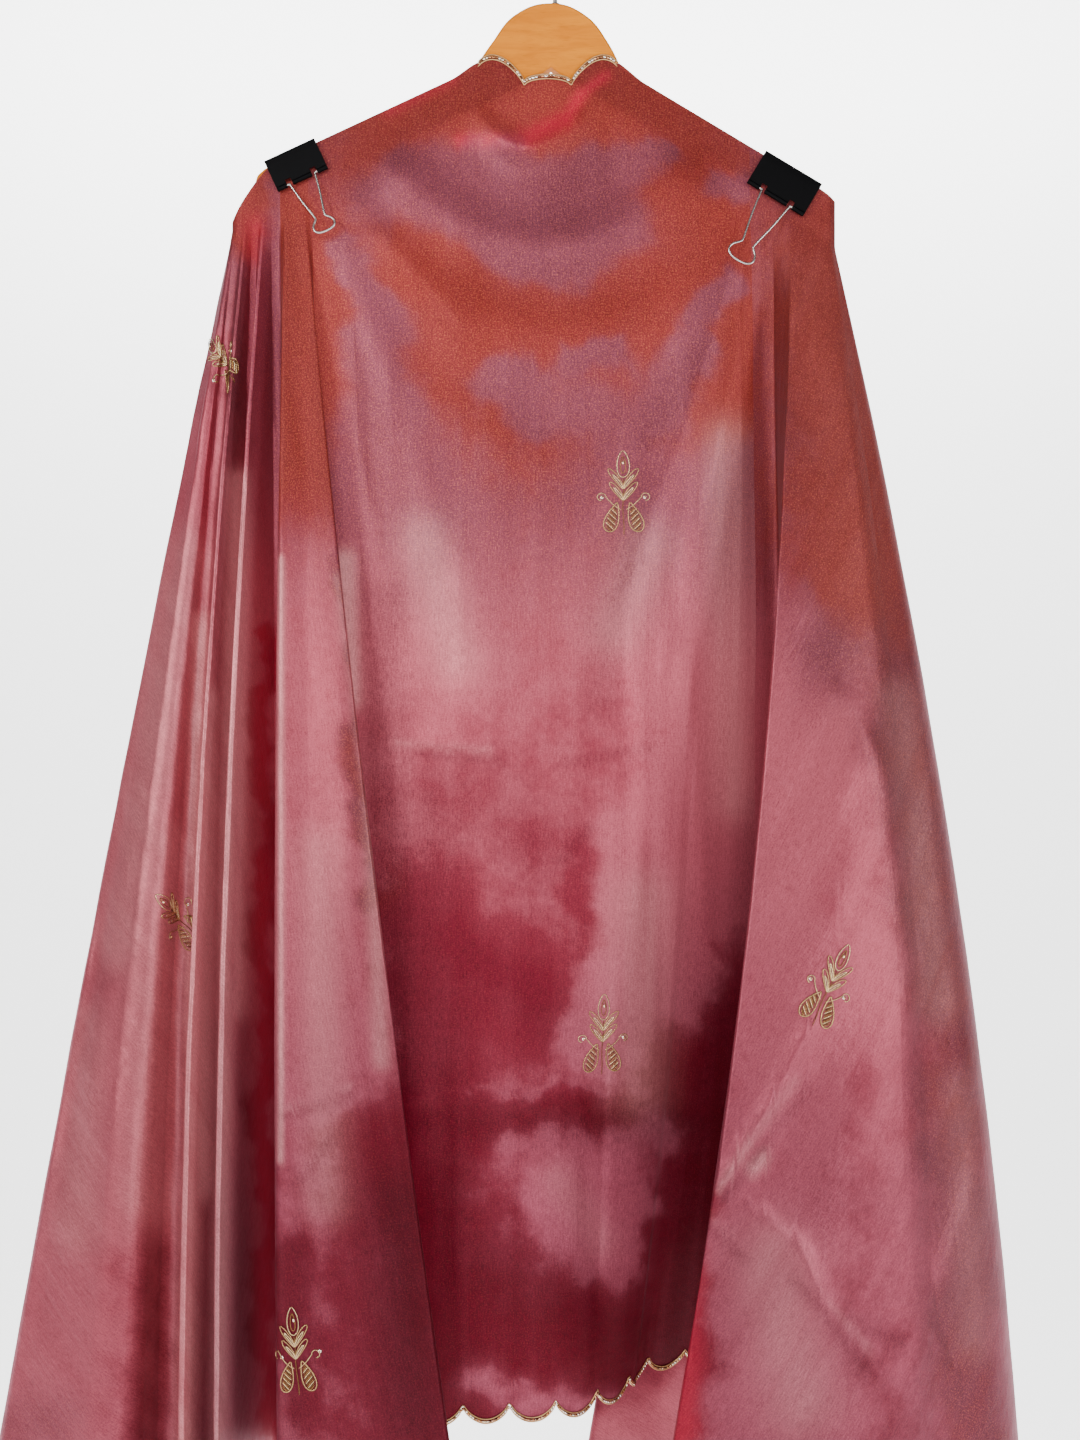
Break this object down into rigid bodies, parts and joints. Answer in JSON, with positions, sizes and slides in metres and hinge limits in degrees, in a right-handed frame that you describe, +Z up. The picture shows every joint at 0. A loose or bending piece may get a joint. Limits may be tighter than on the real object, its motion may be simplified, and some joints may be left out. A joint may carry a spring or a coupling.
{
  "type": "dupatta stole on a wooden hanger, held by two binder clips",
  "caption": "Long sheer stole with a scalloped beaded border, hung by its long edge over a wooden hanger and clipped at both arms so that its ends fall in flared folds.",
  "frame": {"origin": "inside the crown of the hanger's hook, where a rail carries it", "axes": "+Z up along the hook's stem, +X along the hanger towards its steeper arm, -Y towards the front panel and the neck edge"},
  "size_m": [0.8406, 0.3535, 1.5809],
  "materials": {
    "cloth": "sheer shot tissue, orange at the middle to crimson and pink at the ends, metallic sheen",
    "edging": "zari cord and cut-tube beads, gold and copper",
    "wood": "clear varnished beech",
    "steel": "bright wire",
    "black": "semi-gloss black"
  },
  "bodies": {
    "root": {"hanger_wood": "wood", "hanger_hook": "steel", "left_clip_body": "black", "right_clip_body": "black", "left_back_fall": "cloth", "left_wing": "cloth", "left_flap": "cloth", "front_panel": "cloth", "right_wing": "cloth", "right_back_fall": "cloth", "left_neck_flap": "cloth", "right_neck_flap": "cloth", "left_back_fall_edging": "edging", "left_fall_edging": "edging", "left_wing_edging": "edging", "left_flap_edging": "edging", "front_panel_edging": "edging", "neck_edging": "edging", "right_wing_edging": "edging", "right_back_fall_edging": "edging", "right_fall_edging": "edging", "left_neck_flap_edging": "edging", "right_neck_flap_edging": "edging"},
    "left_front_handle": {"left_clip_front_handle": "steel"},
    "left_rear_handle": {"left_clip_rear_handle": "steel"},
    "right_front_handle": {"right_clip_front_handle": "steel"},
    "right_rear_handle": {"right_clip_rear_handle": "steel"}
  },
  "joints": [
    {"name": "left_front_handle_hinge", "type": "hinge", "parent": "root", "child": "left_front_handle", "pos_m": [-0.18805, -0.0102, -0.20767], "axis": [-0.9064, 0, -0.4224], "range_deg": [0, 140]},
    {"name": "left_rear_handle_hinge", "type": "hinge", "parent": "root", "child": "left_rear_handle", "pos_m": [-0.18805, 0.0102, -0.20767], "axis": [0.9064, 0, 0.4224], "range_deg": [0, 125]},
    {"name": "right_front_handle_hinge", "type": "hinge", "parent": "root", "child": "right_front_handle", "pos_m": [0.16417, -0.0102, -0.22212], "axis": [-0.8575, 0, 0.5145], "range_deg": [0, 140]},
    {"name": "right_rear_handle_hinge", "type": "hinge", "parent": "root", "child": "right_rear_handle", "pos_m": [0.16417, 0.0102, -0.22212], "axis": [0.8575, 0, -0.5145], "range_deg": [0, 125]}
  ]
}
